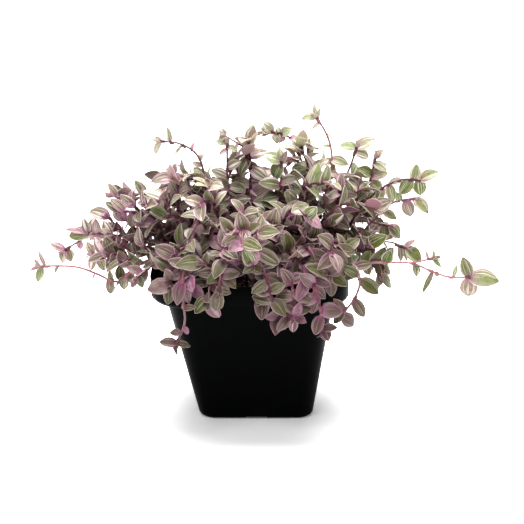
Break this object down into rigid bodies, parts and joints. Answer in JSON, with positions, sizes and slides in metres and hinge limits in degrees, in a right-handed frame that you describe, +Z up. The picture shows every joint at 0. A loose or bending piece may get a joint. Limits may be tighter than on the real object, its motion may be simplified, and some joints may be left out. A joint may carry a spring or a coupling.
{
  "type": "potted callisia",
  "caption": "Square tapered nursery pot filled with soil, with thin leafy stems that form a loose dome and trail past its rim.",
  "frame": {"origin": "middle of the pot's flat underside", "axes": "+Z up, -Y the front of the pot as pictured, +X to the right seen from the front"},
  "size_m": [0.2355, 0.1412, 0.1583],
  "materials": {
    "pot_plastic": "satin",
    "potting_soil": "matte",
    "striped_leaves": "satin"
  },
  "bodies": {
    "root": {"pot": "pot_plastic", "soil": "potting_soil", "stem_06": "striped_leaves", "stem_07": "striped_leaves", "stem_08": "striped_leaves", "stem_09": "striped_leaves", "stem_10": "striped_leaves", "stem_11": "striped_leaves", "stem_12": "striped_leaves", "stem_13": "striped_leaves", "stem_14": "striped_leaves", "stem_15": "striped_leaves", "stem_16": "striped_leaves", "stem_17": "striped_leaves", "stem_18": "striped_leaves", "stem_19": "striped_leaves", "stem_20": "striped_leaves", "stem_21": "striped_leaves", "stem_22": "striped_leaves", "stem_23": "striped_leaves", "stem_24": "striped_leaves", "stem_25": "striped_leaves", "stem_26": "striped_leaves", "stem_27": "striped_leaves", "stem_28": "striped_leaves", "stem_29": "striped_leaves", "stem_30": "striped_leaves", "stem_31": "striped_leaves", "stem_32": "striped_leaves", "stem_crown_back": "striped_leaves", "stem_crown_left": "striped_leaves", "stem_crown_mid": "striped_leaves", "stem_crown_right": "striped_leaves", "stem_crown_sage": "striped_leaves", "stem_far_left": "striped_leaves", "stem_far_right": "striped_leaves", "stem_front_corner": "striped_leaves", "stem_front_hang": "striped_leaves", "stem_front_left": "striped_leaves", "stem_front_mid": "striped_leaves", "stem_front_right": "striped_leaves", "stem_front_right_low": "striped_leaves", "stem_left_corner": "striped_leaves", "stem_left_front": "striped_leaves", "stem_left_hang": "striped_leaves", "stem_left_low": "striped_leaves", "stem_left_mid": "striped_leaves", "stem_left_pink": "striped_leaves", "stem_left_rise": "striped_leaves", "stem_left_shoulder": "striped_leaves", "stem_right_arch": "striped_leaves", "stem_right_back": "striped_leaves", "stem_right_hang": "striped_leaves", "stem_right_mid": "striped_leaves", "stem_right_pink": "striped_leaves", "stem_right_top": "striped_leaves", "stem_right_upper": "striped_leaves", "stem_top_right": "striped_leaves", "stem_upper_left": "striped_leaves"}
  },
  "joints": []
}
